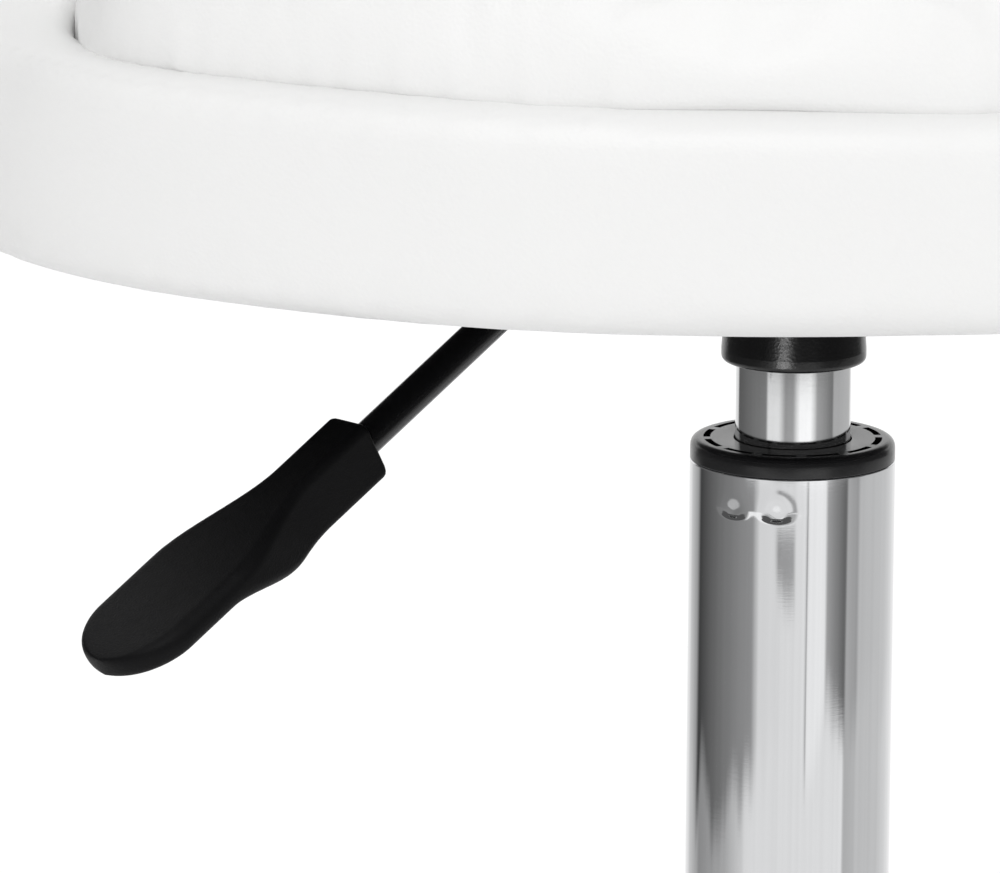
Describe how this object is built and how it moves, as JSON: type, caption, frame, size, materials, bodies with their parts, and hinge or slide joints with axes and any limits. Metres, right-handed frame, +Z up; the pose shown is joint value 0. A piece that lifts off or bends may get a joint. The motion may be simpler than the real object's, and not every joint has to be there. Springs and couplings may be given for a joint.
{
  "type": "salon stool",
  "caption": "Salon stool with a white upholstered tub seat and loose cushion on a gas-lift column with a height lever, a chromed star base and swivelling castors.",
  "frame": {"origin": "on the floor, under the axis of the column", "axes": "+Z up along the column, -Y towards the front of the seat, -X towards the sitter's right, on whose front side the lever is"},
  "size_m": [0.4924, 0.4881, 0.6803],
  "materials": {
    "white_leatherette": "satin",
    "chrome": "polished",
    "cylinder_steel": "satin",
    "ring_plastic": "satin",
    "black_steel": "gloss",
    "handle_plastic": "matte",
    "caster_nylon": "satin",
    "wheel_nylon": "satin",
    "zinc_steel": "satin",
    "guide_plastic": "satin",
    "bumper_rubber": "matte",
    "plywood": "matte",
    "cover_cloth": "matte"
  },
  "bodies": {
    "base": {"base_hub": "chrome", "base_leg_1": "chrome", "base_leg_2": "chrome", "base_leg_3": "chrome", "base_leg_4": "chrome", "base_leg_5": "chrome", "caster_stem_1": "zinc_steel", "caster_stem_2": "zinc_steel", "caster_stem_3": "zinc_steel", "caster_stem_4": "zinc_steel", "caster_stem_5": "zinc_steel", "column_tube": "chrome", "guide_bush": "guide_plastic", "ring_cap": "ring_plastic", "lower_race": "zinc_steel", "bearing_balls": "zinc_steel"},
    "spindle": {"piston_rod": "cylinder_steel", "piston": "guide_plastic", "upper_race": "zinc_steel", "retaining_clip": "zinc_steel", "bumper": "bumper_rubber"},
    "carriage": {"gas_cylinder": "cylinder_steel", "end_seal": "guide_plastic", "taper_socket": "black_steel", "mechanism_bracket": "black_steel", "mechanism_plate": "black_steel", "pivot_pin": "zinc_steel", "plate_bolts": "zinc_steel", "bolt_washers": "zinc_steel", "t_nuts": "zinc_steel", "seat_board": "plywood", "dust_cover": "cover_cloth", "back_frame": "plywood", "tub_upholstery": "white_leatherette", "seat_cushion": "white_leatherette"},
    "lever": {"lever_rod": "black_steel", "lever_handle": "handle_plastic"},
    "button": {"release_button": "zinc_steel"},
    "caster_1": {"caster_hood_1": "caster_nylon", "caster_axle_1": "zinc_steel"},
    "wheel_left_1": {"caster_wheel_left_1": "wheel_nylon"},
    "wheel_right_1": {"caster_wheel_right_1": "wheel_nylon"},
    "caster_2": {"caster_hood_2": "caster_nylon", "caster_axle_2": "zinc_steel"},
    "wheel_left_2": {"caster_wheel_left_2": "wheel_nylon"},
    "wheel_right_2": {"caster_wheel_right_2": "wheel_nylon"},
    "caster_3": {"caster_hood_3": "caster_nylon", "caster_axle_3": "zinc_steel"},
    "wheel_left_3": {"caster_wheel_left_3": "wheel_nylon"},
    "wheel_right_3": {"caster_wheel_right_3": "wheel_nylon"},
    "caster_4": {"caster_hood_4": "caster_nylon", "caster_axle_4": "zinc_steel"},
    "wheel_left_4": {"caster_wheel_left_4": "wheel_nylon"},
    "wheel_right_4": {"caster_wheel_right_4": "wheel_nylon"},
    "caster_5": {"caster_hood_5": "caster_nylon", "caster_axle_5": "zinc_steel"},
    "wheel_left_5": {"caster_wheel_left_5": "wheel_nylon"},
    "wheel_right_5": {"caster_wheel_right_5": "wheel_nylon"}
  },
  "joints": [
    {"name": "swivel", "type": "hinge", "parent": "base", "child": "spindle", "pos_m": [0, 0, 0.072], "axis": [0, 0, 1], "continuous": true},
    {"name": "lift", "type": "slide", "parent": "spindle", "child": "carriage", "axis": [0, 0, 1], "range_m": [0, 0.14]},
    {"name": "lever_tilt", "type": "hinge", "parent": "carriage", "child": "lever", "pos_m": [-0.02404, -0.02404, 0.3838], "axis": [-0.7071, 0.7071, 0], "range_deg": [0, 5], "stiffness_Nm_per_rad": 1.5},
    {"name": "button_press", "type": "slide", "parent": "carriage", "child": "button", "axis": [0, 0, -1], "range_m": [0, 0.0032]},
    {"name": "caster_swivel_1", "type": "hinge", "parent": "base", "child": "caster_1", "pos_m": [0, 0.22, 0.045], "axis": [0, 0, 1], "continuous": true},
    {"name": "wheel_roll_left_1", "type": "hinge", "parent": "caster_1", "child": "wheel_left_1", "pos_m": [0.01669, 0.22674, 0.025], "axis": [-0.3746, 0.9272, 0], "continuous": true},
    {"name": "wheel_roll_right_1", "type": "hinge", "parent": "caster_1", "child": "wheel_right_1", "pos_m": [0.01669, 0.22674, 0.025], "axis": [-0.3746, 0.9272, 0], "continuous": true},
    {"name": "caster_swivel_2", "type": "hinge", "parent": "base", "child": "caster_2", "pos_m": [-0.20923, 0.06798, 0.045], "axis": [0, 0, 1], "continuous": true},
    {"name": "wheel_roll_left_2", "type": "hinge", "parent": "caster_2", "child": "wheel_left_2", "pos_m": [-0.22031, 0.08217, 0.025], "axis": [-0.788, -0.6157, 0], "continuous": true},
    {"name": "wheel_roll_right_2", "type": "hinge", "parent": "caster_2", "child": "wheel_right_2", "pos_m": [-0.22031, 0.08217, 0.025], "axis": [-0.788, -0.6157, 0], "continuous": true},
    {"name": "caster_swivel_3", "type": "hinge", "parent": "base", "child": "caster_3", "pos_m": [-0.12931, -0.17798, 0.045], "axis": [0, 0, 1], "continuous": true},
    {"name": "wheel_roll_left_3", "type": "hinge", "parent": "caster_3", "child": "wheel_left_3", "pos_m": [-0.13989, -0.19255, 0.025], "axis": [0.809, -0.5878, 0], "continuous": true},
    {"name": "wheel_roll_right_3", "type": "hinge", "parent": "caster_3", "child": "wheel_right_3", "pos_m": [-0.13989, -0.19255, 0.025], "axis": [0.809, -0.5878, 0], "continuous": true},
    {"name": "caster_swivel_4", "type": "hinge", "parent": "base", "child": "caster_4", "pos_m": [0.12931, -0.17798, 0.045], "axis": [0, 0, 1], "continuous": true},
    {"name": "wheel_roll_left_4", "type": "hinge", "parent": "caster_4", "child": "wheel_left_4", "pos_m": [0.14623, -0.18414, 0.025], "axis": [0.342, 0.9397, 0], "continuous": true},
    {"name": "wheel_roll_right_4", "type": "hinge", "parent": "caster_4", "child": "wheel_right_4", "pos_m": [0.14623, -0.18414, 0.025], "axis": [0.342, 0.9397, 0], "continuous": true},
    {"name": "caster_swivel_5", "type": "hinge", "parent": "base", "child": "caster_5", "pos_m": [0.20923, 0.06798, 0.045], "axis": [0, 0, 1], "continuous": true},
    {"name": "wheel_roll_left_5", "type": "hinge", "parent": "caster_5", "child": "wheel_left_5", "pos_m": [0.21049, 0.08594, 0.025], "axis": [-0.9976, 0.0698, 0], "continuous": true},
    {"name": "wheel_roll_right_5", "type": "hinge", "parent": "caster_5", "child": "wheel_right_5", "pos_m": [0.21049, 0.08594, 0.025], "axis": [-0.9976, 0.0698, 0], "continuous": true}
  ],
  "couplings": [
    {"joint": "button_press", "follows": "lever_tilt", "m_per_rad": 0.036}
  ]
}
